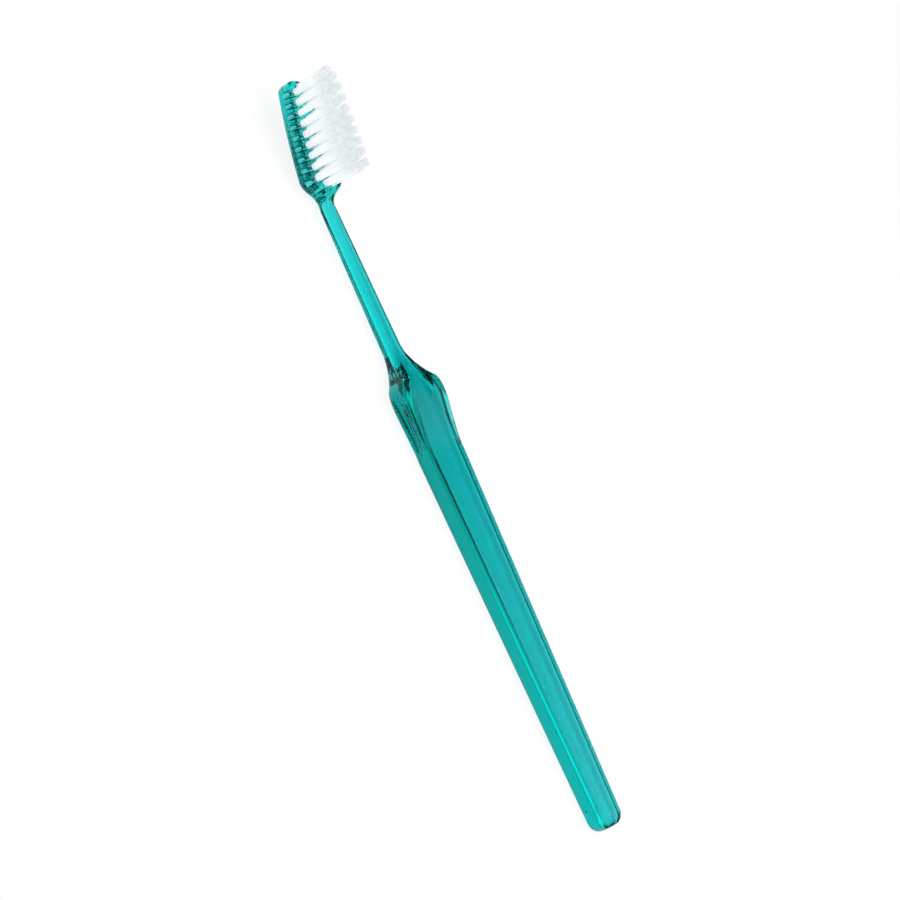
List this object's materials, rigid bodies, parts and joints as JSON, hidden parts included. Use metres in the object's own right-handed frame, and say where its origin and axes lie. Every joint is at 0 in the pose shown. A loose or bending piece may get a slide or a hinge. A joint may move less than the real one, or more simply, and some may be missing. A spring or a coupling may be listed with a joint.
{
  "type": "manual toothbrush",
  "caption": "Manual toothbrush with a clear teal handle that tapers to the tail, a raised shoulder with finger scoops, a slim neck and a tilted head of straight bristle tufts.",
  "frame": {"origin": "under the middle of the brush's length, on the surface that its flat back lies on", "axes": "+X along the handle from the tail to the head, +Y across it, +Z out of the flat back towards the bristle side"},
  "size_m": [0.186, 0.0142, 0.0193],
  "materials": {
    "clear_teal_plastic": "clear tinted plastic, polished",
    "bristle_nylon": "fine translucent white filaments",
    "anchor_metal": "flat nickel-silver wire"
  },
  "bodies": {
    "root": {"handle": "clear_teal_plastic", "tuft_outer_left_1": "bristle_nylon", "tuft_outer_left_2": "bristle_nylon", "tuft_outer_left_3": "bristle_nylon", "tuft_outer_left_4": "bristle_nylon", "tuft_outer_left_5": "bristle_nylon", "tuft_outer_left_6": "bristle_nylon", "tuft_outer_left_7": "bristle_nylon", "tuft_outer_left_8": "bristle_nylon", "tuft_outer_left_9": "bristle_nylon", "tuft_outer_right_1": "bristle_nylon", "tuft_outer_right_2": "bristle_nylon", "tuft_outer_right_3": "bristle_nylon", "tuft_outer_right_4": "bristle_nylon", "tuft_outer_right_5": "bristle_nylon", "tuft_outer_right_6": "bristle_nylon", "tuft_outer_right_7": "bristle_nylon", "tuft_outer_right_8": "bristle_nylon", "tuft_outer_right_9": "bristle_nylon", "tuft_inner_left_1": "bristle_nylon", "tuft_inner_left_2": "bristle_nylon", "tuft_inner_left_3": "bristle_nylon", "tuft_inner_left_4": "bristle_nylon", "tuft_inner_left_5": "bristle_nylon", "tuft_inner_left_6": "bristle_nylon", "tuft_inner_right_1": "bristle_nylon", "tuft_inner_right_2": "bristle_nylon", "tuft_inner_right_3": "bristle_nylon", "tuft_inner_right_4": "bristle_nylon", "tuft_inner_right_5": "bristle_nylon", "tuft_inner_right_6": "bristle_nylon", "tuft_centre_1": "bristle_nylon", "tuft_centre_2": "bristle_nylon", "tuft_centre_3": "bristle_nylon", "tuft_centre_4": "bristle_nylon", "anchors_outer_left": "anchor_metal", "anchors_outer_right": "anchor_metal", "anchors_inner_left": "anchor_metal", "anchors_inner_right": "anchor_metal", "anchors_centre": "anchor_metal"}
  },
  "joints": []
}
